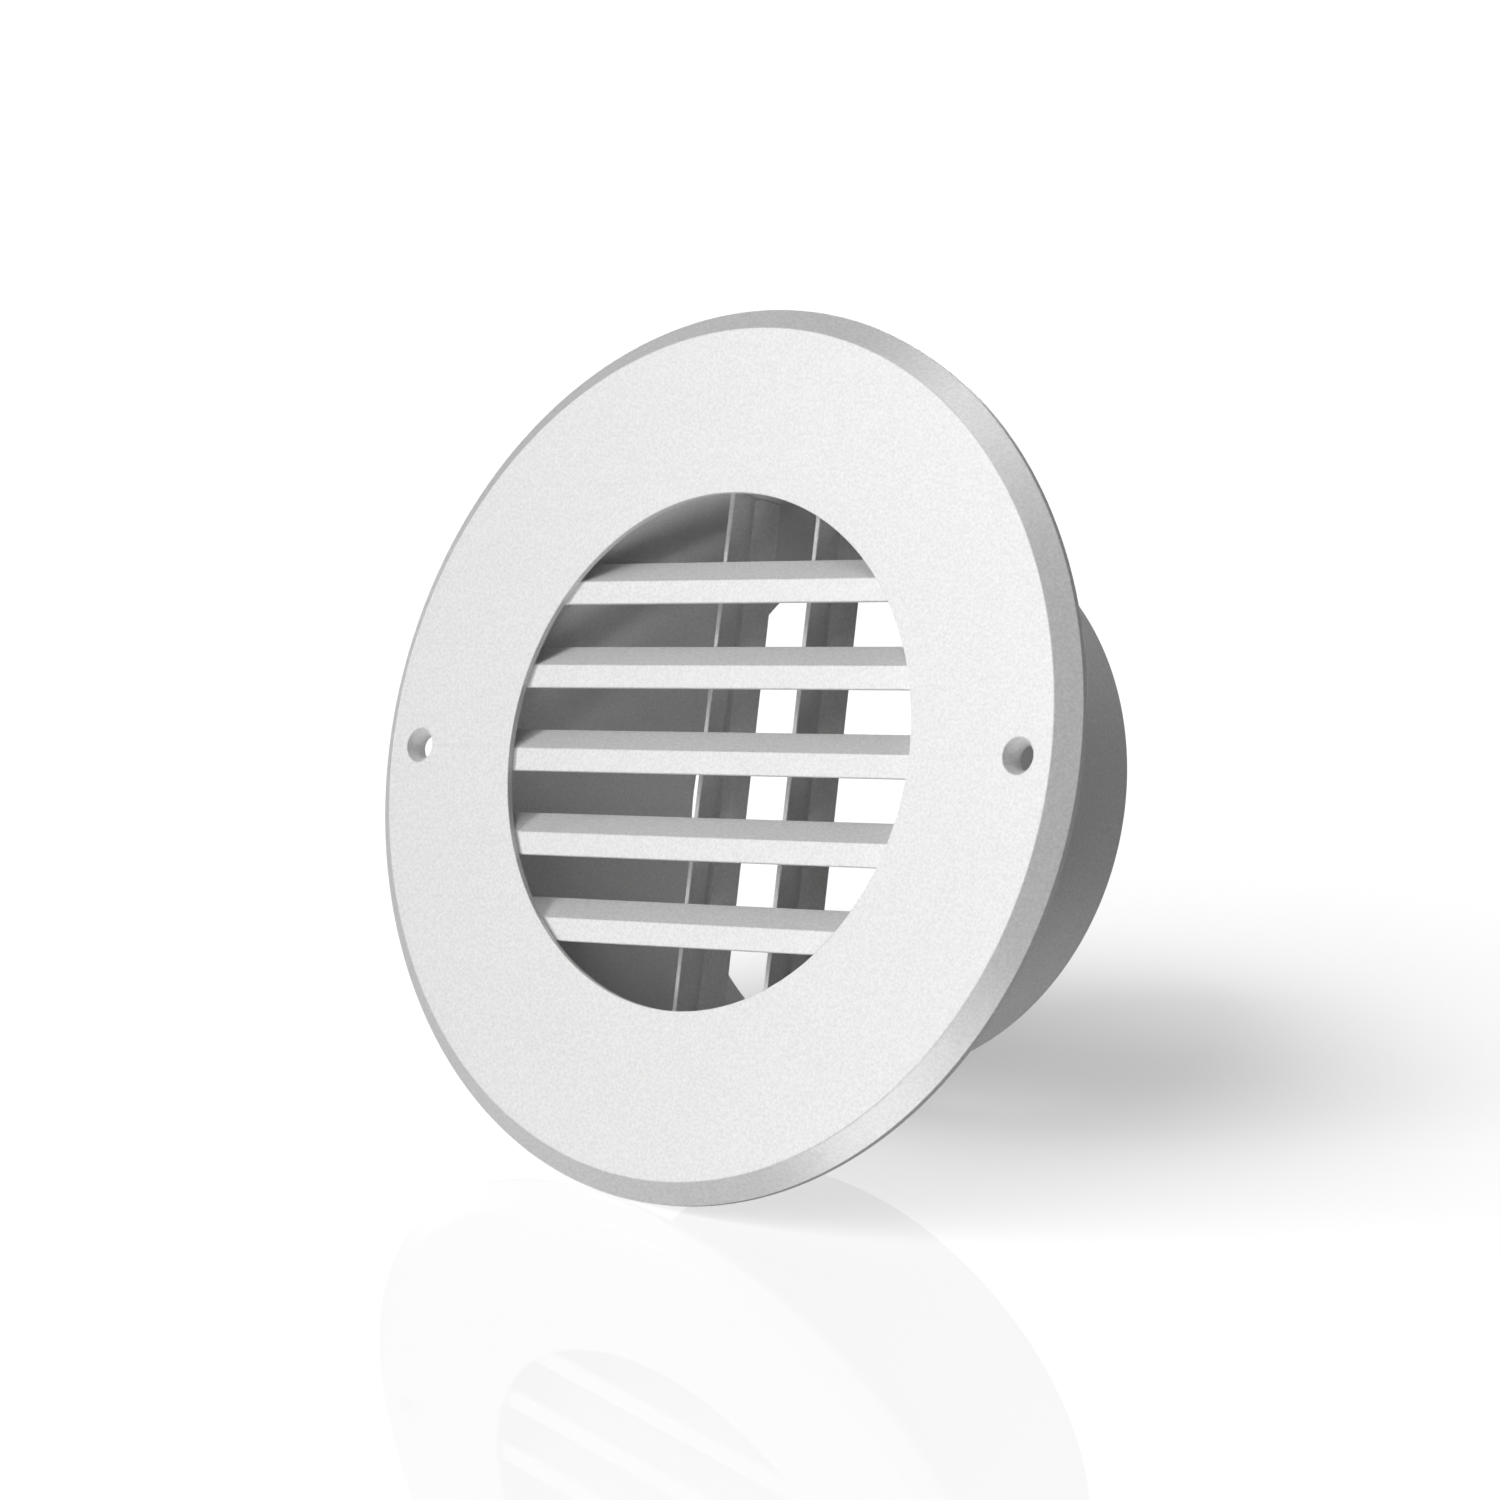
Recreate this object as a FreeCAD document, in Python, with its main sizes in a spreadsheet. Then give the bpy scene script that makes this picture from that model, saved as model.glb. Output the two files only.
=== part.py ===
import FreeCAD, Part
import math
import os
import Sketcher

# Round louvred duct vent for a 100 mm (4 in) duct.
#
# Axes: +Z up, +Y along the duct into the wall, -Y out towards the room.
# Origin: on the duct axis, in the plane of the wall that the faceplate rests on.
# All sizes in millimetres.

os.makedirs("parts", exist_ok=True)
doc = FreeCAD.newDocument("round_louvred_vent")

# ---------------------------------------------------------------- sizes
sheet = doc.addObject("Spreadsheet::Sheet", "Dims")
TABLE = [
    ("face_radius", 72.6, "radius of the flat front face"),
    ("rim_radius", 76.3, "outer radius of the faceplate"),
    ("plate_depth", 3.9, "front face to wall plane"),
    ("rim_height", 1.1, "straight edge of the rim, next to the wall"),
    ("shell_wall", 1.15, "wall thickness of the cast faceplate"),
    ("opening_radius", 44.1, "clear opening in the faceplate"),
    ("seat_step", 0.55, "radius taken off the collar where it sits in the faceplate"),
    ("seat_clearance", 0.1, "radial gap between collar and its seat ring"),
    ("seat_wall", 1.2, "thickness of the seat ring round the collar"),
    ("seat_relief", 0.2, "how far the seat ring stops short of the wall plane"),
    ("boss_radius", 4.2, "outer radius of the screw bosses"),
    ("screw_offset", 66.05, "screw hole centre to duct axis"),
    ("screw_radius", 2.25, "clearance hole for a 4 mm screw"),
    ("sink_radius", 3.05, "countersink radius at the front face"),
    ("sink_depth", 1.35, "depth of the countersink"),
    ("collar_radius", 49.0, "outer radius of the duct collar"),
    ("collar_wall", 1.0, "wall thickness of the duct collar"),
    ("collar_reach", 50.7, "collar length behind the wall plane"),
    ("weld_gap", 0.05, "gap left at welded ends and slots"),
    ("louvre_pitch", 14.67, "height from one louvre to the next"),
    ("louvre_wall", 1.0, "thickness of the louvre sheet"),
    ("lip_height", 4.0, "height of the upright front lip"),
    ("slope_rise", 3.83, "rise and run of the 45 degree slope"),
    ("bend_radius", 0.45, "outside bend radius of the louvre sheet"),
    ("flange_end", 11.1, "rear edge of the louvre flange, behind the wall plane"),
    ("bar_offset", 9.82, "support bar centre to duct axis"),
    ("bar_wall", 1.0, "thickness of the support bar sheet"),
    ("bar_front", 7.9, "front edge of a bar, behind the wall plane"),
    ("bar_rear", 20.6, "rear edge of a bar, behind the wall plane"),
    ("groove_line", 14.3, "crease of the stiffening groove, behind the wall plane"),
    ("groove_half", 2.8, "half width of the stiffening groove"),
    ("groove_depth", 0.8, "depth of the stiffening groove"),
]
VALUE = {}
for row, (alias, value, note) in enumerate(TABLE, 1):
    sheet.set("A%d" % row, alias)
    sheet.set("B%d" % row, "%g" % value)
    sheet.setAlias("B%d" % row, alias)
    sheet.set("C%d" % row, note)
    VALUE[alias] = value
doc.recompute()


class Size:
    """A number together with the sheet expression that gives it."""

    def __init__(self, value, text):
        self.value = value
        self.text = text

    @staticmethod
    def of(other):
        if isinstance(other, Size):
            return other
        return Size(float(other), "%r" % float(other))

    def __add__(self, other):
        other = Size.of(other)
        return Size(self.value + other.value, "(%s + %s)" % (self.text, other.text))

    def __sub__(self, other):
        other = Size.of(other)
        return Size(self.value - other.value, "(%s - %s)" % (self.text, other.text))

    def __mul__(self, other):
        other = Size.of(other)
        return Size(self.value * other.value, "(%s * %s)" % (self.text, other.text))

    def __truediv__(self, other):
        other = Size.of(other)
        return Size(self.value / other.value, "(%s / %s)" % (self.text, other.text))

    def __neg__(self):
        return Size(-self.value, "(0 - %s)" % self.text)


def dim(alias):
    return Size(VALUE[alias], "Dims.%s" % alias)


ZERO = Size(0.0, "0")


# ---------------------------------------------------------------- helpers
def new_body(label):
    body = doc.addObject("PartDesign::Body", label)
    body.Label = label
    return body


def plane(body, role):
    for feature in body.Origin.OriginFeatures:
        if feature.Role == role:
            return feature
    raise RuntimeError("no %s in %s" % (role, body.Label))


def axis(body, role):
    return plane(body, role)


def new_sketch(body, name, role):
    sketch = body.newObject("Sketcher::SketchObject", name)
    sketch.AttachmentSupport = [(plane(body, role), "")]
    sketch.MapMode = "FlatFace"
    return sketch


def pin_point(sketch, geo, pos, x, y):
    """Hold one point at (x, y), each coordinate bound to the sheet."""
    for kind, size, axis_id in (("DistanceX", x, -2), ("DistanceY", y, -1)):
        if abs(size.value) < 1e-9:
            sketch.addConstraint(Sketcher.Constraint("PointOnObject", geo, pos, axis_id))
        else:
            at = sketch.addConstraint(
                Sketcher.Constraint(kind, -1, 1, geo, pos, size.value))
            sketch.setExpression("Constraints[%d]" % at, size.text)


def add_polygon(sketch, points):
    first = sketch.GeometryCount
    count = len(points)
    for i in range(count):
        a, b = points[i], points[(i + 1) % count]
        sketch.addGeometry(Part.LineSegment(
            FreeCAD.Vector(a[0].value, a[1].value, 0),
            FreeCAD.Vector(b[0].value, b[1].value, 0)), False)
    for i in range(count):
        sketch.addConstraint(Sketcher.Constraint(
            "Coincident", first + i, 2, first + (i + 1) % count, 1))
    for i, (x, y) in enumerate(points):
        pin_point(sketch, first + i, 1, x, y)


def add_outline(sketch, corners):
    """Closed outline of lines and arcs.

    Each corner is (x, y) or (x, y, radius, middle): with the last two, the edge
    from this corner to the next is an arc of that radius, and middle is a point
    near its middle that says which way it bulges."""
    first = sketch.GeometryCount
    count = len(corners)
    ends = []
    for i, corner in enumerate(corners):
        after = corners[(i + 1) % count]
        a = FreeCAD.Vector(corner[0].value, corner[1].value, 0)
        b = FreeCAD.Vector(after[0].value, after[1].value, 0)
        if len(corner) == 2:
            sketch.addGeometry(Part.LineSegment(a, b), False)
            ends.append((1, 2))
        else:
            radius = corner[2].value
            towards = FreeCAD.Vector(corner[3][0], corner[3][1], 0)
            half_way = (a + b) * 0.5
            side = FreeCAD.Vector(-(b - a).y, (b - a).x, 0).normalize()
            if (towards - half_way).dot(side) < 0:
                side = -side
            centre = half_way - side * math.sqrt(radius ** 2 - ((b - a).Length / 2) ** 2)
            turn_a = math.atan2(a.y - centre.y, a.x - centre.x)
            turn_b = math.atan2(b.y - centre.y, b.x - centre.x)
            forward = (a - centre).cross(b - centre).z > 0
            low, high = (turn_a, turn_b) if forward else (turn_b, turn_a)
            if high < low:
                high += 2 * math.pi
            sketch.addGeometry(Part.ArcOfCircle(
                Part.Circle(centre, FreeCAD.Vector(0, 0, 1), radius), low, high), False)
            ends.append((1, 2) if forward else (2, 1))
    for i in range(count):
        after = (i + 1) % count
        sketch.addConstraint(Sketcher.Constraint(
            "Coincident", first + i, ends[i][1], first + after, ends[after][0]))
    for i, corner in enumerate(corners):
        pin_point(sketch, first + i, ends[i][0], corner[0], corner[1])
        if len(corner) > 2:
            at = sketch.addConstraint(
                Sketcher.Constraint("Radius", first + i, corner[2].value))
            sketch.setExpression("Constraints[%d]" % at, corner[2].text)


def add_circle(sketch, x, y, radius):
    geo = sketch.addGeometry(Part.Circle(
        FreeCAD.Vector(x.value, y.value, 0), FreeCAD.Vector(0, 0, 1), radius.value), False)
    if abs(x.value) < 1e-9 and abs(y.value) < 1e-9:
        sketch.addConstraint(Sketcher.Constraint("Coincident", geo, 3, -1, 1))
    else:
        pin_point(sketch, geo, 3, x, y)
    at = sketch.addConstraint(Sketcher.Constraint("Radius", geo, radius.value))
    sketch.setExpression("Constraints[%d]" % at, radius.text)


def revolve_about_y(body, name, sketch):
    feature = body.newObject("PartDesign::Revolution", name)
    feature.Profile = sketch
    feature.ReferenceAxis = (axis(body, "Y_Axis"), [""])
    feature.Angle = 360.0
    return feature


def symmetric(feature, length):
    feature.SideType = "Symmetric"
    feature.Length = length.value
    feature.setExpression("Length", length.text)


def trim_to_collar(body, name, x, z, before):
    """Cut away everything outside the collar's bore.

    (x, z) is the duct axis seen from this body's own origin."""
    radius = dim("collar_radius") - dim("collar_wall") - dim("weld_gap")
    side = dim("collar_radius") * 1.6
    sketch = new_sketch(body, name + "_outline", "XZ_Plane")
    add_polygon(sketch, [(x - side, z - side), (x + side, z - side),
                         (x + side, z + side), (x - side, z + side)])
    add_circle(sketch, x, z, radius)
    cut = body.newObject("PartDesign::Pocket", name)
    cut.Profile = sketch
    cut.Type = "Length"
    symmetric(cut, dim("collar_reach") * 2.0)
    doc.recompute()
    if not cut.Shape.Volume < before - 1.0:
        raise RuntimeError("%s of %s removed nothing" % (name, body.Label))
    return cut


nodes = []

# ---------------------------------------------------------------- faceplate
# A thin cast shell: flat face with a clear round opening, bevelled edge and
# straight rim that rests on the wall. Behind the face it is hollow, with a
# seat ring that the collar fits into and a boss round each screw hole.
faceplate = new_body("faceplate")
face_y = -dim("plate_depth")
wall_back = face_y + dim("shell_wall")
rim_front = -dim("rim_height")
bevel_run = dim("rim_radius") - dim("face_radius")
bevel_drop = dim("plate_depth") - dim("rim_height")
bevel_len = math.hypot(bevel_run.value, bevel_drop.value)
bevel_length = Size(bevel_len, "sqrt((%s) ^ 2 + (%s) ^ 2)" % (bevel_run.text, bevel_drop.text))
# a point on the inner face of the bevel, one wall thickness in
inner_r = dim("face_radius") - dim("shell_wall") * bevel_drop / bevel_length
inner_y = face_y + dim("shell_wall") * bevel_run / bevel_length
corner_r = inner_r + (wall_back - inner_y) * bevel_run / bevel_drop
rim_inner = dim("rim_radius") - dim("shell_wall")
rim_turn_y = inner_y + (rim_inner - inner_r) * bevel_drop / bevel_run
seat_in = dim("collar_radius") - dim("seat_step") + dim("seat_clearance")
seat_end = -dim("seat_relief")
seat_out = seat_in + dim("seat_wall")
profile = new_sketch(faceplate, "faceplate_profile", "XY_Plane")
add_polygon(profile, [
    (dim("opening_radius"), face_y),
    (dim("face_radius"), face_y),
    (dim("rim_radius"), rim_front),
    (dim("rim_radius"), ZERO),
    (rim_inner, ZERO),
    (rim_inner, rim_turn_y),
    (corner_r, wall_back),
    (seat_out, wall_back),
    (seat_out, seat_end),
    (seat_in, seat_end),
    (seat_in, wall_back),
    (dim("opening_radius"), wall_back),
])
faceplate_shell = revolve_about_y(faceplate, "faceplate_shell", profile)
doc.recompute()
shell_volume = faceplate_shell.Shape.Volume

boss_outline = new_sketch(faceplate, "boss_outline", "XZ_Plane")
add_circle(boss_outline, dim("screw_offset"), ZERO, dim("boss_radius"))
add_circle(boss_outline, -dim("screw_offset"), ZERO, dim("boss_radius"))
bosses = faceplate.newObject("PartDesign::Pad", "screw_bosses")
bosses.Profile = boss_outline
boss_length = dim("plate_depth") - dim("shell_wall") * 0.5
bosses.Length = boss_length.value
bosses.setExpression("Length", boss_length.text)
doc.recompute()
if bosses.Shape.BoundBox.YMin < face_y.value - 0.01:
    bosses.Reversed = True
    doc.recompute()
if not bosses.Shape.Volume > shell_volume + 100:
    raise RuntimeError("screw bosses added nothing")
boss_volume = bosses.Shape.Volume

hole_outline = new_sketch(faceplate, "screw_hole_outline", "XZ_Plane")
add_circle(hole_outline, dim("screw_offset"), ZERO, dim("screw_radius"))
add_circle(hole_outline, -dim("screw_offset"), ZERO, dim("screw_radius"))
holes = faceplate.newObject("PartDesign::Pocket", "screw_holes")
holes.Profile = hole_outline
holes.Type = "Length"
symmetric(holes, dim("plate_depth") * 4.0)
doc.recompute()
hole_volume = holes.Shape.Volume
expected = 2 * math.pi * VALUE["screw_radius"] ** 2 * VALUE["plate_depth"]
if abs(boss_volume - hole_volume - expected) > 0.02 * expected:
    raise RuntimeError("screw holes removed %.2f, expected %.2f"
                       % (boss_volume - hole_volume, expected))

for side, name in ((1, "countersink_right"), (-1, "countersink_left")):
    # a cone opening towards the front face; its own axis points along -Y
    sink = faceplate.newObject("PartDesign::SubtractiveCone", name)
    sink.Radius1 = VALUE["screw_radius"]
    sink.setExpression("Radius1", "Dims.screw_radius")
    sink.Radius2 = VALUE["sink_radius"]
    sink.setExpression("Radius2", "Dims.sink_radius")
    sink.Height = VALUE["sink_depth"]
    sink.setExpression("Height", "Dims.sink_depth")
    sink.AttachmentSupport = [(plane(faceplate, "XZ_Plane"), "")]
    sink.MapMode = "FlatFace"
    offset = dim("screw_offset") * side
    start = dim("plate_depth") - dim("sink_depth")
    sink.AttachmentOffset = FreeCAD.Placement(
        FreeCAD.Vector(offset.value, 0, start.value), FreeCAD.Rotation())
    sink.setExpression("AttachmentOffset.Base.x", offset.text)
    sink.setExpression("AttachmentOffset.Base.z", start.text)
    doc.recompute()
    if not sink.Shape.Volume < hole_volume - 5:
        raise RuntimeError("%s removed nothing" % name)
    hole_volume = sink.Shape.Volume
nodes.append(faceplate)

# ---------------------------------------------------------------- duct collar
# A plain sheet-metal tube that pushes into the duct. Its front end is turned
# down a little to sit inside the seat ring, against the back of the faceplate;
# the full diameter starts at the wall plane.
collar = new_body("duct_collar")
ring = new_sketch(collar, "collar_profile", "XY_Plane")
bore_radius = dim("collar_radius") - dim("collar_wall")
add_polygon(ring, [
    (bore_radius, wall_back),
    (dim("collar_radius") - dim("seat_step"), wall_back),
    (dim("collar_radius") - dim("seat_step"), ZERO),
    (dim("collar_radius"), ZERO),
    (dim("collar_radius"), dim("collar_reach")),
    (bore_radius, dim("collar_reach")),
])
revolve_about_y(collar, "collar_tube", ring)
doc.recompute()
nodes.append(collar)

# ---------------------------------------------------------------- louvres
# Five identical bent sheets. From the front: an upright lip, a slope that
# rises into the duct at 45 degrees, and a level flange that runs back into
# the notches of the support bars. The ends follow the collar's bore.
lip_y = wall_back
diagonal = Size(math.sqrt(2.0) - 1.0, "(sqrt(2) - 1)")
steps = ((-2, "louvre_1"), (-1, "louvre_2"), (0, "louvre_3"), (1, "louvre_4"), (2, "louvre_5"))
for step, name in steps:
    body = new_body(name)
    wall = dim("louvre_wall")
    rise = dim("slope_rise")
    section = new_sketch(body, name + "_section", "YZ_Plane")
    add_polygon(section, [
        (lip_y, -dim("lip_height")),
        (lip_y, ZERO),
        (lip_y + rise, rise),
        (dim("flange_end"), rise),
        (dim("flange_end"), rise - wall),
        (lip_y + rise + wall * diagonal, rise - wall),
        (lip_y + wall, -(wall * diagonal)),
        (lip_y + wall, -dim("lip_height")),
    ])
    blade = body.newObject("PartDesign::Pad", name + "_blade")
    blade.Profile = section
    symmetric(blade, dim("collar_radius") * 2.0)
    doc.recompute()

    # soften the two outside bends
    bends = []
    for index, edge in enumerate(blade.Shape.Edges, 1):
        if len(edge.Vertexes) != 2:
            continue
        p, q = edge.Vertexes[0].Point, edge.Vertexes[1].Point
        if abs(p.y - q.y) > 1e-6 or abs(p.z - q.z) > 1e-6:
            continue
        front = abs(p.y - lip_y.value) < 1e-6 and abs(p.z) < 1e-6
        top = abs(p.y - lip_y.value - rise.value) < 1e-6 and abs(p.z - rise.value) < 1e-6
        if front or top:
            bends.append("Edge%d" % index)
    if len(bends) != 2:
        raise RuntimeError("%s: found %d bend edges" % (name, len(bends)))
    bend = body.newObject("PartDesign::Fillet", name + "_bends")
    bend.Base = (blade, bends)
    bend.Radius = VALUE["bend_radius"]
    bend.setExpression("Radius", "Dims.bend_radius")
    doc.recompute()

    lift = dim("louvre_pitch") * step
    trim_to_collar(body, name + "_ends", ZERO, -lift if step else ZERO, bend.Shape.Volume)
    body.Placement = FreeCAD.Placement(
        FreeCAD.Vector(0, 0, lift.value), FreeCAD.Rotation())
    body.setExpression("Placement.Base.z", lift.text)
    nodes.append(body)

# ---------------------------------------------------------------- support bars
# Two upright strips across the bore, each stiffened by a shallow groove
# pressed along its middle, notched at the front edge for the louvre flanges.
for side, name in ((-1, "support_bar_left"), (1, "support_bar_right")):
    body = new_body(name)
    # The groove has two rounded flanks, each tangent to the flat of the strip,
    # that meet in a sharp valley on the +X side. The -X side follows at the
    # sheet's own thickness, so it stands out as a low rounded ridge.
    half = dim("bar_wall") / 2.0
    wall = dim("bar_wall")
    deep = dim("groove_depth")
    line = dim("groove_line")
    reach = dim("groove_half")
    flank = (reach * reach + deep * deep) / (deep * 2.0)
    inner_flank = flank - wall
    ridge_x = half - deep - wall * (flank - deep) / flank
    ridge_y = wall * reach / flank
    mid = line.value - reach.value / 2.0, line.value + reach.value / 2.0
    section = new_sketch(body, name + "_section", "XY_Plane")
    add_outline(section, [
        (half, dim("bar_front")),
        (half, line - reach, flank, (half.value, mid[0])),
        (half - deep, line, flank, (half.value, mid[1])),
        (half, line + reach),
        (half, dim("bar_rear")),
        (-half, dim("bar_rear")),
        (-half, line + reach, inner_flank, (half.value, mid[1])),
        (ridge_x, line + ridge_y, wall, (-2.0 * wall.value, line.value)),
        (ridge_x, line - ridge_y, inner_flank, (half.value, mid[0])),
        (-half, line - reach),
        (-half, dim("bar_front")),
    ])
    strip = body.newObject("PartDesign::Pad", name + "_strip")
    strip.Profile = section
    symmetric(strip, dim("collar_radius") * 2.0)
    doc.recompute()

    offset = dim("bar_offset") * side
    ends = trim_to_collar(body, name + "_ends", -offset, ZERO, strip.Shape.Volume)

    notch = new_sketch(body, name + "_notch_outline", "YZ_Plane")
    for step, louvre in steps:
        low = dim("louvre_pitch") * step + dim("slope_rise") - dim("louvre_wall") - dim("weld_gap")
        high = dim("louvre_pitch") * step + dim("slope_rise") + dim("weld_gap")
        front = dim("bar_front") - 1.0
        back = dim("flange_end") + dim("weld_gap")
        add_polygon(notch, [(front, low), (back, low), (back, high), (front, high)])
    notches = body.newObject("PartDesign::Pocket", name + "_notches")
    notches.Profile = notch
    notches.Type = "Length"
    symmetric(notches, dim("bar_wall") * 4.0)
    doc.recompute()
    lost = ends.Shape.Volume - notches.Shape.Volume
    expected = 5 * (VALUE["louvre_wall"] + 2 * VALUE["weld_gap"]) * VALUE["bar_wall"] * (
        VALUE["flange_end"] + VALUE["weld_gap"] - VALUE["bar_front"])
    if abs(lost - expected) > 0.05 * expected:
        raise RuntimeError("%s notches removed %.2f, expected %.2f" % (name, lost, expected))
    body.Placement = FreeCAD.Placement(
        FreeCAD.Vector(offset.value, 0, 0), FreeCAD.Rotation())
    body.setExpression("Placement.Base.x", offset.text)
    nodes.append(body)

# ---------------------------------------------------------------- check and write
doc.recompute()
for obj in doc.Objects:
    if any(flag in ("Invalid", "Error") for flag in obj.State):
        raise RuntimeError("%s failed: %s" % (obj.Name, obj.State))
for obj in doc.Objects:
    if obj.TypeId == "Sketcher::SketchObject" and obj.solve() != 0:
        raise RuntimeError("%s does not solve" % obj.Name)
total = 0.0
for body in nodes:
    shape = body.Shape
    if shape.isNull() or not shape.isValid() or len(shape.Solids) != 1:
        raise RuntimeError("%s is not one valid solid" % body.Label)
    total += shape.Volume
    box = shape.BoundBox
    print("%-18s volume %9.1f  X %7.2f %7.2f  Y %7.2f %7.2f  Z %7.2f %7.2f" % (
        body.Label, shape.Volume, box.XMin, box.XMax, box.YMin, box.YMax, box.ZMin, box.ZMax))
for i, first in enumerate(nodes):
    for second in nodes[i + 1:]:
        shared = first.Shape.common(second.Shape).Volume
        if shared > 0.01:
            raise RuntimeError("%s and %s overlap by %.3f" % (first.Label, second.Label, shared))
print("total volume %.1f mm3" % total)
for body in nodes:
    body.Shape.exportStep("parts/%s.step" % body.Label)
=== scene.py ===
import math

import bpy
import numpy as np
from mathutils import Matrix, Vector


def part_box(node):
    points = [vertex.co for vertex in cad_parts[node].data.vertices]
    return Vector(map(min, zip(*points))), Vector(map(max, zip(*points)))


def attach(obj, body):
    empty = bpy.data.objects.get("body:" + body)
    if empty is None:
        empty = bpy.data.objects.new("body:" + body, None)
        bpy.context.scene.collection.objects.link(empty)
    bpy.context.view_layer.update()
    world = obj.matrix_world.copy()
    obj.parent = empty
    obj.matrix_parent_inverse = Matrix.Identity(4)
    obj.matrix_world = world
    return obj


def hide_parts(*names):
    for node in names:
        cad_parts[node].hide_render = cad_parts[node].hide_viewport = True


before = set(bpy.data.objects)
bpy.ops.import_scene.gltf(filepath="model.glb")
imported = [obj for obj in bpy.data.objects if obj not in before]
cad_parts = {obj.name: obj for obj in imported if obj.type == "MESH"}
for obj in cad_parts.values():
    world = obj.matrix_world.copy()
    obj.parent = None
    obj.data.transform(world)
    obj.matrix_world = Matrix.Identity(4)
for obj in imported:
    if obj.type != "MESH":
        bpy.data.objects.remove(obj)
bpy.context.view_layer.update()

# Round louvred wall vent, white powder coat. Everything is in metres in the
# CAD's own frame: +Y into the wall, -Y to the room, +Z up.

MM = 0.001
BODY = "root"

# ------------------------------------------------------------------ CAD sizes
plate_lo, plate_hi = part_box("faceplate")
tube_lo, tube_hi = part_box("duct_collar")
RIM_R = plate_hi.z / MM                   # outer radius of the faceplate
FRONT_Y = plate_lo.y / MM                 # front face
TUBE_Y = tube_hi.y / MM                   # rear end of the collar
SEAT_Y = tube_lo.y / MM                   # back of the faceplate's wall
FACE_R = 72.6
RIM_H = 1.1
WALL = SEAT_Y - FRONT_Y
HOLE_R = 44.1
TUBE_R = 49.0
TUBE_T = 1.0
BORE_R = TUBE_R - TUBE_T
SCREW_X = 66.05
SCREW_R = 2.25
SINK_R = 3.05
SINK_D = 1.35
BOSS_R = 4.2
TRIM_R = BORE_R - 0.05
SEAT_R = TUBE_R - 0.55                    # the collar's turned-down front end


# ------------------------------------------------------------------ mesh tools
def new_object(name, verts, faces, smooth_deg=32.0):
    mesh = bpy.data.meshes.new(name)
    mesh.from_pydata([tuple(v) for v in verts], [], [tuple(f) for f in faces])
    mesh.validate()
    mesh.update()
    ob = bpy.data.objects.new(name, mesh)
    bpy.context.scene.collection.objects.link(ob)
    soften(mesh, smooth_deg)
    return ob


def soften(mesh, smooth_deg=32.0):
    mesh.shade_smooth()
    mesh.set_sharp_from_angle(angle=math.radians(smooth_deg))


def weighted(ob):
    m = ob.modifiers.new("normals", "WEIGHTED_NORMAL")
    m.mode = "FACE_AREA"
    m.weight = 80
    m.keep_sharp = True
    return ob


def rounded(points, radii, steps=5):
    """Closed 2-D outline with its corners rounded. A corner's radius is cut
    down where an edge is too short for it."""
    out = []
    n = len(points)
    for i in range(n):
        p = np.array(points[i], float)
        a = np.array(points[i - 1], float) - p
        b = np.array(points[(i + 1) % n], float) - p
        la, lb = np.linalg.norm(a), np.linalg.norm(b)
        a, b = a / la, b / lb
        angle = math.acos(max(-1.0, min(1.0, float(a @ b))))
        r = radii[i]
        if r <= 0 or angle > math.radians(179.5):
            out.append(p)
            continue
        back = min(r / math.tan(angle / 2), 0.49 * la, 0.49 * lb)
        r = back * math.tan(angle / 2)
        mid = a + b
        mid /= np.linalg.norm(mid)
        centre = p + mid * (r / math.sin(angle / 2))
        s, e = p + a * back, p + b * back
        t0 = math.atan2(*(s - centre)[::-1])
        t1 = math.atan2(*(e - centre)[::-1])
        d = (t1 - t0 + math.pi) % (2 * math.pi) - math.pi
        for k in range(steps + 1):
            t = t0 + d * k / steps
            out.append(centre + r * np.array([math.cos(t), math.sin(t)]))
    return out


def lathe(name, profile, steps, centre=(0.0, 0.0), smooth_deg=32.0):
    """Closed (radius, y) outline turned round a line along Y. Points at radius
    0 become one shared point. centre is that line's x and z. All in mm."""
    cx, cz = centre
    verts, rings = [], []
    for r, y in profile:
        if abs(r) < 1e-9:
            rings.append([len(verts)])
            verts.append((cx * MM, y * MM, cz * MM))
        else:
            ring = []
            for k in range(steps):
                t = 2 * math.pi * k / steps
                ring.append(len(verts))
                verts.append(((cx + r * math.cos(t)) * MM, y * MM, (cz + r * math.sin(t)) * MM))
            rings.append(ring)
    faces = []
    n = len(rings)
    for i in range(n):
        a, b = rings[i], rings[(i + 1) % n]
        if len(a) == 1 and len(b) == 1:
            continue
        for k in range(steps):
            j = (k + 1) % steps
            if len(a) == 1:
                faces.append((a[0], b[j], b[k]))
            elif len(b) == 1:
                faces.append((a[k], a[j], b[0]))
            else:
                faces.append((a[k], a[j], b[j], b[k]))
    ob = new_object(name, verts, faces, smooth_deg)
    outward(ob)
    return ob


def outward(ob):
    """Turns every face to point out of its closed solid."""
    import bmesh
    bm = bmesh.new()
    bm.from_mesh(ob.data)
    bmesh.ops.recalc_face_normals(bm, faces=bm.faces[:])
    if bm.calc_volume(signed=True) < 0:
        bmesh.ops.reverse_faces(bm, faces=bm.faces[:])
    bm.to_mesh(ob.data)
    bm.free()
    ob.data.update()


def boolean(ob, other, operation):
    """Applies one exact boolean and removes the tool."""
    m = ob.modifiers.new("cut", "BOOLEAN")
    m.object = other
    m.operation = operation
    m.solver = "EXACT"
    bpy.context.view_layer.update()
    dg = bpy.context.evaluated_depsgraph_get()
    mesh = bpy.data.meshes.new_from_object(ob.evaluated_get(dg))
    ob.modifiers.clear()
    old = ob.data
    name = old.name
    ob.data = mesh
    bpy.data.meshes.remove(old)
    mesh.name = name
    bpy.data.objects.remove(other)


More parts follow.
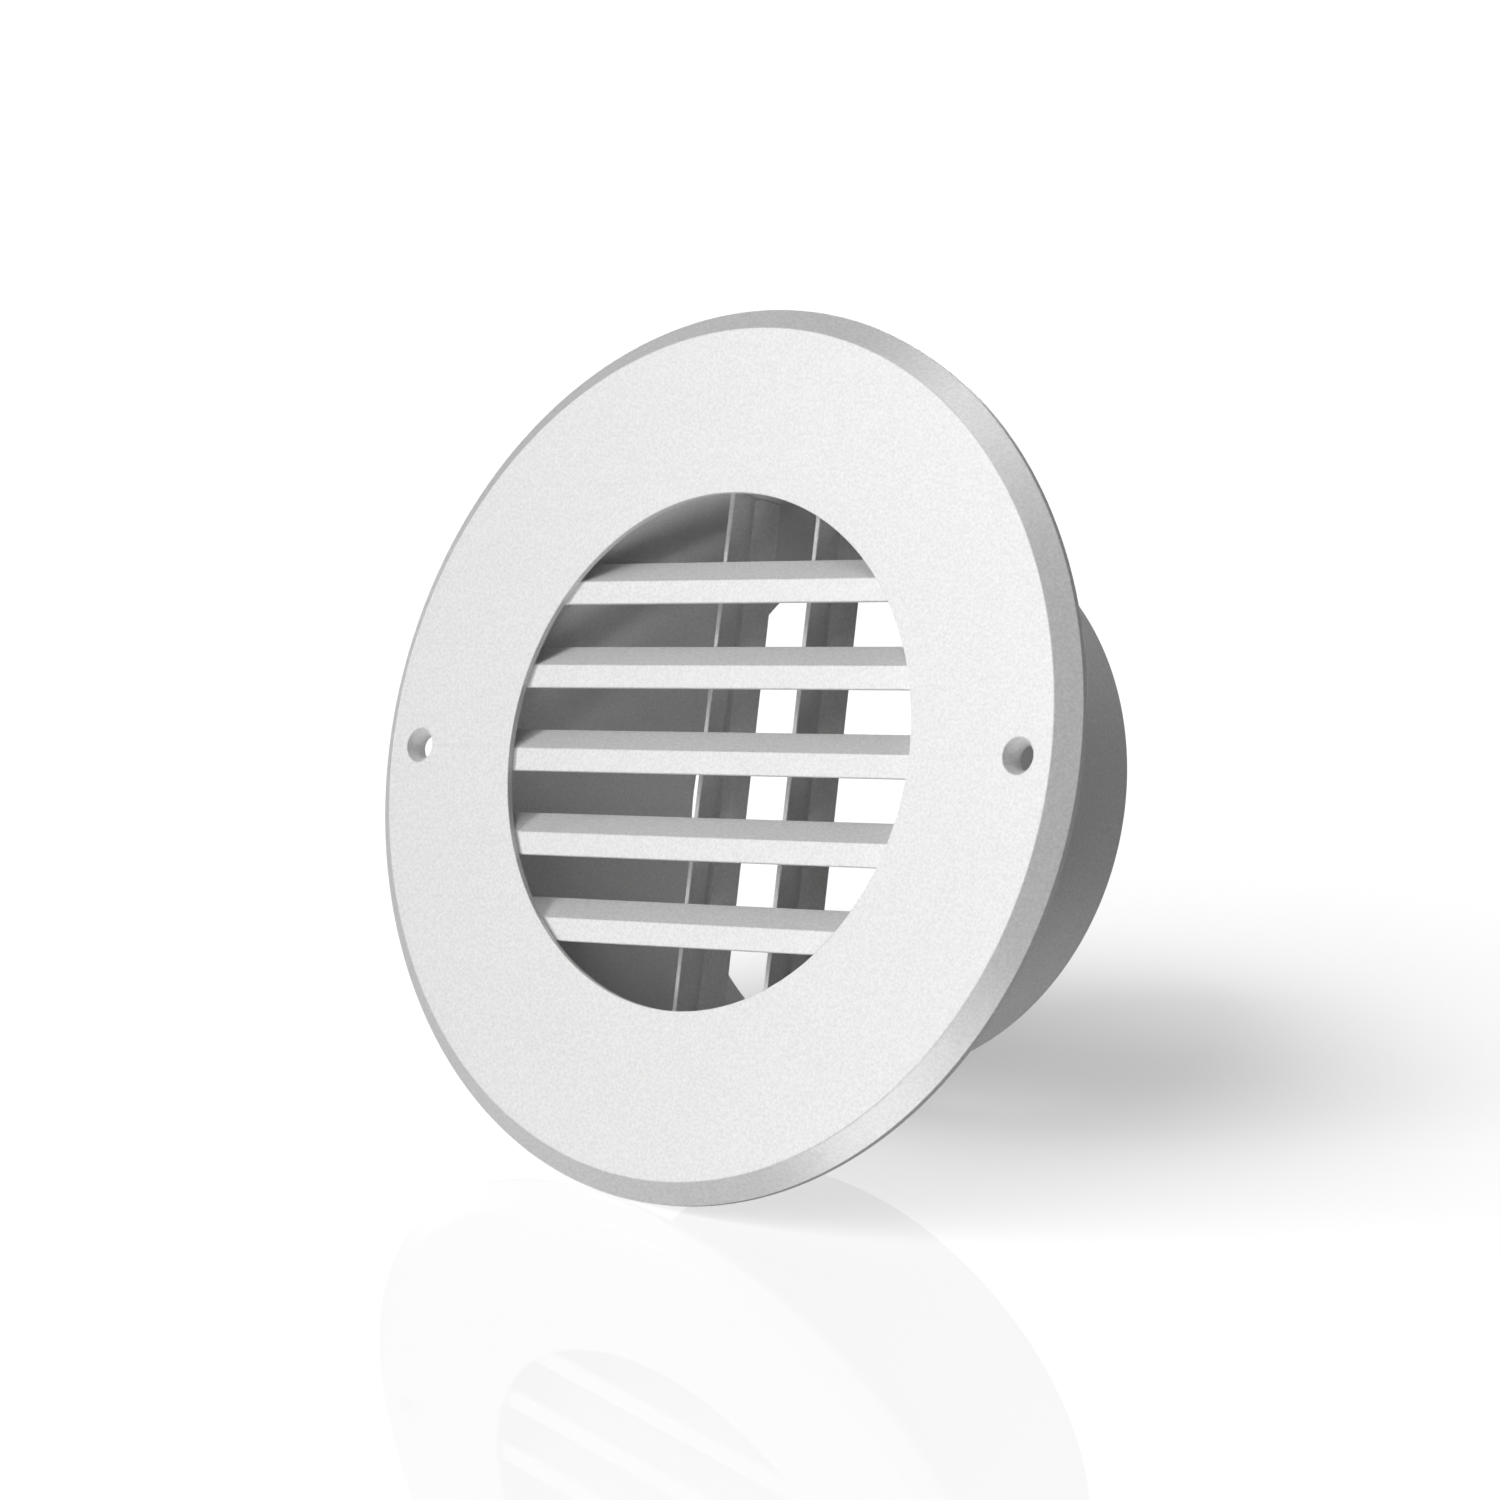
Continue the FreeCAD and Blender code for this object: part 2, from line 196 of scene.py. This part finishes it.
# ------------------------------------------------------------------ faceplate
bevel_run, bevel_drop = RIM_R - FACE_R, -RIM_H - FRONT_Y
bevel_len = math.hypot(bevel_run, bevel_drop)
in_r = FACE_R - WALL * bevel_drop / bevel_len
in_y = FRONT_Y + WALL * bevel_run / bevel_len
corner_r = in_r + (SEAT_Y - in_y) * bevel_run / bevel_drop
rim_in = RIM_R - WALL
turn_y = in_y + (rim_in - in_r) * bevel_drop / bevel_run
plate_outline = [
    ((HOLE_R, FRONT_Y), 0.16),
    ((FACE_R, FRONT_Y), 0.55),
    ((RIM_R, -RIM_H), 0.22),
    ((RIM_R, 0.0), 0.14),
    ((rim_in, 0.0), 0.14),
    ((rim_in, turn_y), 0.5),
    ((corner_r, SEAT_Y), 0.8),
    ((SEAT_R + 1.3, SEAT_Y), 0.5),
    ((SEAT_R + 1.3, -0.2), 0.2),
    ((SEAT_R + 0.1, -0.2), 0.15),
    ((SEAT_R + 0.1, SEAT_Y), 0.05),
    ((HOLE_R, SEAT_Y), 0.12),
]
faceplate = lathe(
    "faceplate_shell",
    rounded([p for p, r in plate_outline], [r for p, r in plate_outline], 5), 480)
for side in (-1, 1):
    # boss behind the face, with a small flare where it meets the wall
    boss = rounded(
        [(0, FRONT_Y + 0.5), (BOSS_R + 0.7, FRONT_Y + 0.5), (BOSS_R + 0.7, SEAT_Y - 0.02),
         (BOSS_R, SEAT_Y - 0.02), (BOSS_R, 0.0), (0, 0.0)],
        [0, 0, 0, 0.65, 0.25, 0], 5)
    boolean(faceplate, lathe("boss_tool", boss, 72, (side * SCREW_X, 0.0)), "UNION")
for side in (-1, 1):
    # screw hole: clearance bore, cone, and a mouth softened by the coat. The
    # mouth's curve meets the face at 12 degrees and runs on above it.
    cone = math.atan2(SINK_D, SINK_R - SCREW_R)
    start = math.radians(12.0)
    soft = 0.3
    mid_r = SINK_R + soft * math.tan(cone / 2)
    mid_y = FRONT_Y + soft
    curve = []
    for k in range(7):
        t = start + (cone - start) * k / 6
        curve.append((mid_r - soft * math.sin(t), mid_y - soft * math.cos(t)))
    reach = 1.2
    first = (curve[0][0] + reach, curve[0][1] - reach * math.tan(start))
    mouth = [(0, FRONT_Y - 1.0), (first[0], FRONT_Y - 1.0), first] + curve
    mouth += [(SCREW_R, FRONT_Y + SINK_D), (SCREW_R, -0.1), (SCREW_R + 0.5, 0.4), (0, 0.4)]
    boolean(faceplate, lathe("hole_tool", mouth, 96, (side * SCREW_X, 0.0)), "DIFFERENCE")
soften(faceplate.data, 32.0)
weighted(faceplate)

# ------------------------------------------------------------------ collar
collar = lathe(
    "duct_collar_tube",
    rounded([(BORE_R, SEAT_Y), (SEAT_R, SEAT_Y), (SEAT_R, 0.0), (TUBE_R, 0.0),
             (TUBE_R, TUBE_Y), (BORE_R, TUBE_Y)],
            [0.08, 0.08, 0.05, 0.15, 0.3, 0.3], 5), 360)
weighted(collar)


# ------------------------------------------------------------------ louvres
LIP_H = 4.0
RISE = 3.83
SHEET = 1.0
FLANGE_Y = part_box("louvre_3")[1].y / MM
PITCH = 14.67


def louvre(name, z0):
    d = SHEET * (math.sqrt(2.0) - 1.0)
    outline = [
        ((SEAT_Y, -LIP_H), 0.2),
        ((SEAT_Y, 0.0), 0.5),
        ((SEAT_Y + RISE, RISE), 0.6),
        ((FLANGE_Y, RISE), 0.2),
        ((FLANGE_Y, RISE - SHEET), 0.2),
        ((SEAT_Y + RISE + d, RISE - SHEET), 0.15),
        ((SEAT_Y + SHEET, -d), 0.15),
        ((SEAT_Y + SHEET, -LIP_H), 0.2),
    ]
    section = rounded([p for p, r in outline], [r for p, r in outline], 5)
    n = len(section)
    verts, faces = [], []
    # stations along the blade: the ends follow the collar's bore
    stations = (-1.0, -0.999, -0.5, 0.0, 0.5, 0.999, 1.0)
    for s in stations:
        for y, z in section:
            end = math.sqrt(TRIM_R ** 2 - (z0 + z) ** 2)
            verts.append((s * end * MM, y * MM, (z0 + z) * MM))
    for i in range(len(stations) - 1):
        for k in range(n):
            j = (k + 1) % n
            faces.append((i * n + k, i * n + j, (i + 1) * n + j, (i + 1) * n + k))
    faces.append(tuple(range(n)))
    faces.append(tuple((len(stations) - 1) * n + k for k in reversed(range(n))))
    ob = new_object(name, verts, faces)
    outward(ob)
    soften(ob.data)
    return weighted(ob)


louvres = {}
for step in range(-2, 3):
    node = "louvre_%d" % (step + 3)
    louvres[node] = louvre(node + "_blade", PITCH * step)

# ------------------------------------------------------------------ bars
BAR_T = 1.0
GROOVE_Y, GROOVE_W, GROOVE_D = 14.3, 2.8, 0.8
bar_lo, bar_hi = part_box("support_bar_right")
BAR_Y0, BAR_Y1 = bar_lo.y / MM, bar_hi.y / MM
BAR_X = bar_hi.x / MM - BAR_T / 2


def bar(name, x0):
    half = BAR_T / 2
    flank = (GROOVE_W ** 2 + GROOVE_D ** 2) / (2 * GROOVE_D)
    notch_y = FLANGE_Y + 0.05

    def right(y):
        """x and outward normal of the +X face at depth y"""
        d = abs(y - GROOVE_Y)
        if d >= GROOVE_W:
            return half, (1.0, 0.0)
        c = GROOVE_W - d
        x = half - flank + math.sqrt(flank ** 2 - c ** 2)
        ny = c / flank * (1 if y < GROOVE_Y else -1)
        return x, (math.sqrt(1 - ny * ny), ny)

    ys = [BAR_Y0, notch_y, GROOVE_Y - GROOVE_W]
    ys += [GROOVE_Y - GROOVE_W + GROOVE_W * k / 10 for k in range(1, 11)]
    ys += [GROOVE_Y + GROOVE_W * k / 10 for k in range(1, 11)]
    ys += [BAR_Y1]
    ys = sorted(set(round(v, 6) for v in ys))
    cuts = []
    for step in range(-2, 3):
        top = PITCH * step + RISE
        cuts.append((top - SHEET - 0.05, top + 0.05))
    zs = [None] + [z for pair in cuts for z in pair] + [None]   # None: the curved ends
    right_face, left_face, verts = {}, {}, []
    for i, y in enumerate(ys):
        x, (nx, ny) = right(y)
        if abs(y - GROOVE_Y) < 1e-6:
            nx, ny = 1.0, 0.0
        lx, ly = x - BAR_T * nx, y - BAR_T * ny
        for j, z in enumerate(zs):
            for face, (px, py) in ((right_face, (x, y)), (left_face, (lx, ly))):
                pz = z
                if z is None:
                    pz = math.sqrt(TRIM_R ** 2 - (x0 + px) ** 2) * (-1 if j == 0 else 1)
                face[i, j] = len(verts)
                verts.append(((x0 + px) * MM, py * MM, pz * MM))
    cells = set()
    for i in range(len(ys) - 1):
        for j in range(len(zs) - 1):
            notched = ys[i + 1] <= notch_y + 1e-6 and j % 2 == 1
            if not notched:
                cells.add((i, j))
    faces = []
    for i, j in sorted(cells):
        faces.append((right_face[i, j], right_face[i + 1, j], right_face[i + 1, j + 1], right_face[i, j + 1]))
        faces.append((left_face[i, j], left_face[i, j + 1], left_face[i + 1, j + 1], left_face[i + 1, j]))
        for (di, dj), (p, q) in {
            (-1, 0): ((i, j), (i, j + 1)), (1, 0): ((i + 1, j + 1), (i + 1, j)),
            (0, -1): ((i + 1, j), (i, j)), (0, 1): ((i, j + 1), (i + 1, j + 1)),
        }.items():
            if (i + di, j + dj) not in cells:
                faces.append((right_face[p], right_face[q], left_face[q], left_face[p]))
    used = sorted({v for f in faces for v in f})
    index = {v: k for k, v in enumerate(used)}
    ob = new_object(name, [verts[v] for v in used], [[index[v] for v in f] for f in faces])
    outward(ob)
    soften(ob.data)
    m = ob.modifiers.new("edges", "BEVEL")
    m.width = 0.16 * MM
    m.segments = 3
    m.limit_method = "ANGLE"
    m.angle_limit = math.radians(60)
    m.harden_normals = False
    return weighted(ob)


bars = {
    "support_bar_left": bar("support_bar_left_strip", -BAR_X),
    "support_bar_right": bar("support_bar_right_strip", BAR_X),
}


# ------------------------------------------------------------------ materials
def node(tree, kind, **values):
    n = tree.nodes.new(kind)
    for key, value in values.items():
        setattr(n, key, value)
    return n


def powder_coat(name, tone, rough, grain_mm, grain_depth, peel_depth, streaks=False):
    """White powder coat: fine grain over a slight orange peel, with a little
    colour and gloss variation, and a thinner, greyer coat on the edges."""
    mat = bpy.data.materials.new(name)
    mat.use_nodes = True
    tree = mat.node_tree
    tree.nodes.clear()
    link = tree.links.new
    out = node(tree, "ShaderNodeOutputMaterial")
    bsdf = node(tree, "ShaderNodeBsdfPrincipled")
    link(bsdf.outputs["BSDF"], out.inputs["Surface"])
    coords = node(tree, "ShaderNodeTexCoord")

    grain = node(tree, "ShaderNodeTexNoise")
    grain.inputs["Scale"].default_value = 1.0 / (grain_mm * MM)
    grain.inputs["Detail"].default_value = 1.0
    grain.inputs["Roughness"].default_value = 0.5
    link(coords.outputs["Object"], grain.inputs["Vector"])
    peel = node(tree, "ShaderNodeTexNoise")
    peel.inputs["Scale"].default_value = 1.0 / (1.9 * MM)
    peel.inputs["Detail"].default_value = 1.0
    link(coords.outputs["Object"], peel.inputs["Vector"])
    cloud = node(tree, "ShaderNodeTexNoise")
    cloud.inputs["Scale"].default_value = 1.0 / (22 * MM)
    cloud.inputs["Detail"].default_value = 3.0
    link(coords.outputs["Object"], cloud.inputs["Vector"])

    # colour: cloudy variation, then fine speckle, then edges
    cloudy = node(tree, "ShaderNodeValToRGB")
    cloudy.color_ramp.elements[0].position = 0.3
    cloudy.color_ramp.elements[0].color = (tone * 0.985, tone * 0.985, tone * 0.98, 1)
    cloudy.color_ramp.elements[1].position = 0.7
    cloudy.color_ramp.elements[1].color = (tone, tone, tone * 0.998, 1)
    link(cloud.outputs["Fac"], cloudy.inputs["Fac"])
    speckle = node(tree, "ShaderNodeMapRange")
    speckle.inputs["From Min"].default_value = 0.3
    speckle.inputs["From Max"].default_value = 0.7
    speckle.inputs["To Min"].default_value = 0.875
    speckle.inputs["To Max"].default_value = 1.04
    link(grain.outputs["Fac"], speckle.inputs["Value"])
    tint = node(tree, "ShaderNodeMix", data_type="RGBA", blend_type="MULTIPLY")
    tint.inputs["Factor"].default_value = 1.0
    link(cloudy.outputs["Color"], tint.inputs["A"])
    link(speckle.outputs["Result"], tint.inputs["B"])
    geometry = node(tree, "ShaderNodeNewGeometry")
    edge = node(tree, "ShaderNodeMapRange")
    edge.inputs["From Min"].default_value = 0.54
    edge.inputs["From Max"].default_value = 0.66
    edge.inputs["To Min"].default_value = 0.0
    edge.inputs["To Max"].default_value = 0.35
    link(geometry.outputs["Pointiness"], edge.inputs["Value"])
    worn = node(tree, "ShaderNodeMix", data_type="RGBA", blend_type="MIX")
    worn.inputs["B"].default_value = (tone * 0.86, tone * 0.86, tone * 0.86, 1)
    link(edge.outputs["Result"], worn.inputs["Factor"])
    link(tint.outputs["Result"], worn.inputs["A"])
    link(worn.outputs["Result"], bsdf.inputs["Base Color"])

    # gloss
    gloss = node(tree, "ShaderNodeMapRange")
    gloss.inputs["From Min"].default_value = 0.25
    gloss.inputs["From Max"].default_value = 0.75
    gloss.inputs["To Min"].default_value = rough - 0.01
    gloss.inputs["To Max"].default_value = rough + 0.05
    link(peel.outputs["Fac"], gloss.inputs["Value"])
    link(gloss.outputs["Result"], bsdf.inputs["Roughness"])

    # relief
    low = node(tree, "ShaderNodeBump")
    low.inputs["Strength"].default_value = 0.12
    low.inputs["Distance"].default_value = peel_depth * MM
    link(peel.outputs["Fac"], low.inputs["Height"])
    fine = node(tree, "ShaderNodeBump")
    fine.inputs["Strength"].default_value = 0.10
    fine.inputs["Distance"].default_value = grain_depth * MM
    link(grain.outputs["Fac"], fine.inputs["Height"])
    link(low.outputs["Normal"], fine.inputs["Normal"])
    link(fine.outputs["Normal"], bsdf.inputs["Normal"])

    bsdf.inputs["Metallic"].default_value = 0.0
    bsdf.inputs["IOR"].default_value = 1.54
    bsdf.inputs["Specular IOR Level"].default_value = 1.0
    return mat


coat_face = powder_coat("coat_face", 0.861, 0.30, 0.50, 0.05, 0.08)
# the louvres' coat is a lighter copy of the face's coat: painted light that makes up for the shade the
# faceplate's edge casts on the lips
coat_blade_painted_bright = powder_coat("coat_blade_painted_bright", 0.880, 0.30, 0.48, 0.045, 0.06)
coat_sheet = powder_coat("coat_sheet", 0.83, 0.34, 0.48, 0.045, 0.06)


def finish_piece(ob, cad_node, mat):
    ob.data.materials.clear()
    ob.data.materials.append(mat)
    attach(ob, BODY)
    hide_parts(cad_node)


finish_piece(faceplate, "faceplate", coat_face)
finish_piece(collar, "duct_collar", coat_sheet)
for name, ob in louvres.items():
    finish_piece(ob, name, coat_blade_painted_bright)
for name, ob in bars.items():
    finish_piece(ob, name, coat_sheet)

# ------------------------------------------------------------------ camera
YAW, PITCH_DEG, ROLL = 40.33726, -6.36550, 6.41633
UNIT = 0.0726
TX, TY, TZ = -0.111369, 0.000131, 10.420725
a, b, c = (math.radians(v) for v in (YAW, PITCH_DEG, ROLL))
forward = Vector((-math.sin(a) * math.cos(b), math.cos(a) * math.cos(b), -math.sin(b)))
level = Vector((math.cos(a), math.sin(a), 0.0))
upward = level.cross(forward)
right = level * math.cos(c) + upward * math.sin(c)
up = -level * math.sin(c) + upward * math.cos(c)
eye = -(right * TX + up * TY + forward * TZ) * UNIT + Vector((0, FRONT_Y * MM, 0))
cam_data = bpy.data.cameras.new("camera")
cam_data.sensor_width = 36.0
cam_data.lens = 4501.646 / 1500.0 * 36.0
cam_data.clip_start = 0.01
cam_data.clip_end = 20.0
camera = bpy.data.objects.new("camera", cam_data)
bpy.context.scene.collection.objects.link(camera)
camera.matrix_world = Matrix((
    (right.x, up.x, -forward.x, eye.x),
    (right.y, up.y, -forward.y, eye.y),
    (right.z, up.z, -forward.z, eye.z),
    (0, 0, 0, 1)))
bpy.context.scene.camera = camera

# ------------------------------------------------------------------ floor
# A white floor under the vent's lowest point. The vent is seen a little from
# below, so the floor leans with it and shows a shallow shadow and reflection.
floor_up = Vector((0.159052, -0.310266, 0.937250)).normalized()
contact = min(
    (Vector((math.cos(t) * RIM_R * MM, y * MM, math.sin(t) * RIM_R * MM))
     for t in (2 * math.pi * k / 720 for k in range(720)) for y in (-RIM_H, 0.0)),
    key=lambda q: q @ floor_up)
floor_y = floor_up.cross(right).normalized()      # away from the camera
floor_x = floor_y.cross(floor_up).normalized()
size = 3.0
floor_mesh = bpy.data.meshes.new("studio_floor")
floor_mesh.from_pydata(
    [tuple(contact + floor_x * (sx * size) + floor_y * (sy * size))
     for sx, sy in ((-1, -1), (1, -1), (1, 1), (-1, 1))], [], [(0, 1, 2, 3)])
floor_mesh.update()
floor = bpy.data.objects.new("studio_floor", floor_mesh)
bpy.context.scene.collection.objects.link(floor)
floor.visible_diffuse = False
floor.visible_glossy = False
floor.visible_shadow = False

FLOOR_LEVEL = 1.073                       # the floor's brightness out of the shadow
floor_mat = bpy.data.materials.new("studio_floor")
floor_mat.use_nodes = True
tree = floor_mat.node_tree
tree.nodes.clear()
link = tree.links.new
out = node(tree, "ShaderNodeOutputMaterial")
place = node(tree, "ShaderNodeNewGeometry")
from_contact = node(tree, "ShaderNodeVectorMath", operation="SUBTRACT")
from_contact.inputs[1].default_value = tuple(contact)
link(place.outputs["Position"], from_contact.inputs[0])
depth = node(tree, "ShaderNodeVectorMath", operation="DOT_PRODUCT")
depth.inputs[1].default_value = tuple(floor_y)
link(from_contact.outputs["Vector"], depth.inputs[0])
span = node(tree, "ShaderNodeVectorMath", operation="LENGTH")
link(from_contact.outputs["Vector"], span.inputs[0])


def ramp(value, x0, x1, y0, y1, kind="SMOOTHSTEP"):
    n = node(tree, "ShaderNodeMapRange", interpolation_type=kind)
    n.inputs["From Min"].default_value = x0
    n.inputs["From Max"].default_value = x1
    n.inputs["To Min"].default_value = y0
    n.inputs["To Max"].default_value = y1
    link(value, n.inputs["Value"])
    return n.outputs["Result"]


def times(x, y):
    n = node(tree, "ShaderNodeMath", operation="MULTIPLY")
    for socket, v in zip(n.inputs, (x, y)):
        if isinstance(v, float):
            socket.default_value = v
        else:
            link(v, socket)
    return n.outputs["Value"]


def blend(x, y, w):
    n = node(tree, "ShaderNodeMix", data_type="FLOAT")
    for socket, v in zip((n.inputs["A"], n.inputs["B"], n.inputs["Factor"]), (x, y, w)):
        if isinstance(v, float):
            socket.default_value = v
        else:
            link(v, socket)
    return n.outputs["Result"]


# the share of the floor's brightness that is painted light, an emission that the shadow never takes away and
# that fills the shadow in: it is low behind the vent, and rises towards the contact and far from it
painted_fill_share = blend(ramp(depth.outputs["Value"], 0.0, 0.094, 0.73, 0.30), 0.70,
                   ramp(span.outputs["Value"], 0.086, 0.215, 0.0, 1.0))
level_here = ramp(depth.outputs["Value"], 0.0, 0.05, 1.0, FLOOR_LEVEL)
# painted light: the floor's emission, which lightens its shadow more near the contact and far from it
painted_fill_glow = node(tree, "ShaderNodeEmission")
painted_fill_glow.inputs["Color"].default_value = (1, 1, 1, 1)
link(times(level_here, painted_fill_share), painted_fill_glow.inputs["Strength"])
pale = node(tree, "ShaderNodeBsdfDiffuse")
link(times(level_here, blend(0.9, 0.0, painted_fill_share)), pale.inputs["Color"])
base = node(tree, "ShaderNodeAddShader")
link(painted_fill_glow.outputs["Emission"], base.inputs[0])
link(pale.outputs["BSDF"], base.inputs[1])
mirror = node(tree, "ShaderNodeBsdfGlossy")
mirror.inputs["Color"].default_value = (1, 1, 1, 1)
mirror.inputs["Roughness"].default_value = 0.0
share = times(ramp(depth.outputs["Value"], 0.0, 0.05, 1.0, 0.0),
              ramp(span.outputs["Value"], 0.0, 0.30, 0.14, 0.0, "LINEAR"))
top = node(tree, "ShaderNodeMixShader")
link(share, top.inputs["Fac"])
link(base.outputs["Shader"], top.inputs[1])
link(mirror.outputs["BSDF"], top.inputs[2])
clear = node(tree, "ShaderNodeBsdfTransparent")
side_mix = node(tree, "ShaderNodeMixShader")
link(place.outputs["Backfacing"], side_mix.inputs["Fac"])
link(top.outputs["Shader"], side_mix.inputs[1])
link(clear.outputs["BSDF"], side_mix.inputs[2])
link(side_mix.outputs["Shader"], out.inputs["Surface"])
floor_mesh.materials.append(floor_mat)


# ------------------------------------------------------------------ light
# Wide soft lamps all round. The floor has a lamp of its own, and the others
# leave it out, so that its shadow stays one plain soft shape.
floor_only = bpy.data.collections.new("floor_only")
floor_only.objects.link(floor)
not_floor = bpy.data.collections.new("not_floor")
not_floor.objects.link(floor)
not_floor.collection_objects[0].light_linking.link_state = "EXCLUDE"


def lamp(name, direction, spread_deg, strength, receivers):
    light = bpy.data.lights.new(name, "SUN")
    light.angle = math.radians(spread_deg)
    light.energy = strength
    ob = bpy.data.objects.new(name, light)
    bpy.context.scene.collection.objects.link(ob)
    d = Vector(direction).normalized()
    ob.location = d * 1.2
    ob.rotation_mode = "QUATERNION"
    ob.rotation_quaternion = d.to_track_quat("Z", "Y")
    ob.light_linking.receiver_collection = receivers
    return ob


LAMPS = [
    ("key_high", (-0.506, -0.818, 0.272), 20.0, 0.619),
    ("key_low", (-0.519, -0.847, -0.116), 20.0, 0.513),
    ("key_side", (-0.615, -0.785, 0.078), 20.0, 0.160),
    ("left_side", (-0.980, -0.110, 0.150), 20.0, 0.520),
    ("under_right", (0.249, -0.747, -0.616), 22.0, 0.435),
    ("under_far", (-0.024, -0.519, -0.854), 22.0, 0.592),
    ("under_near", (0.060, -0.685, -0.726), 22.0, 0.385),
    ("top_middle", (-0.020, -0.522, 0.853), 22.0, 0.370),
    ("top_right", (0.120, -0.640, 0.755), 22.0, 0.225),
    ("top_back", (-0.082, -0.323, 0.943), 22.0, 0.251),
    ("rear_right", (0.874, 0.477, 0.088), 40.0, 0.230),
    ("rear_top", (0.501, 0.146, 0.853), 40.0, 0.353),
    ("rear_under", (0.556, 0.483, -0.676), 40.0, 0.133),
]
for name, direction, spread, strength in LAMPS:
    lamp(name, direction, spread, strength, not_floor)
# what the wall would hide: a lamp from behind for the back of the vent. The
# collar is left out, so that its bore keeps the shade it has from the front.
plate_only = bpy.data.collections.new("plate_only")
plate_only.objects.link(faceplate)
inner_only = bpy.data.collections.new("inner_only")
for ob in list(louvres.values()) + list(bars.values()):
    inner_only.objects.link(ob)
lamp("rear_left", (-0.55, 0.80, 0.25), 40.0, 2.2, plate_only)
lamp("rear_inner", (-0.55, 0.80, 0.25), 40.0, 0.3, inner_only)
floor_lamp = Vector((0.022567, -0.982781, 0.183388)).normalized()
lamp("floor_lamp", floor_lamp, 46.8,
     math.pi / (0.9 * floor_lamp.dot(floor_up)), floor_only)

world = bpy.data.worlds.new("studio")
bpy.context.scene.world = world
world.use_nodes = True
wt = world.node_tree
wt.nodes.clear()
wout = node(wt, "ShaderNodeOutputWorld")
seen = node(wt, "ShaderNodeBackground")
seen.inputs["Color"].default_value = (1, 1, 1, 1)
seen.inputs["Strength"].default_value = 1.0
lit = node(wt, "ShaderNodeBackground")
lit.inputs["Color"].default_value = (1, 1, 1, 1)
lit.inputs["Strength"].default_value = 0.01
path = node(wt, "ShaderNodeLightPath")
white = node(wt, "ShaderNodeMath", operation="MAXIMUM")
wt.links.new(path.outputs["Is Camera Ray"], white.inputs[0])
wt.links.new(path.outputs["Is Singular Ray"], white.inputs[1])
wmix = node(wt, "ShaderNodeMixShader")
wt.links.new(white.outputs["Value"], wmix.inputs["Fac"])
wt.links.new(lit.outputs["Background"], wmix.inputs[1])
wt.links.new(seen.outputs["Background"], wmix.inputs[2])
wt.links.new(wmix.outputs["Shader"], wout.inputs["Surface"])

scene = bpy.context.scene
scene.view_settings.view_transform = "Standard"
scene.view_settings.look = "None"
scene.view_settings.exposure = 0.0
scene.view_settings.gamma = 1.0
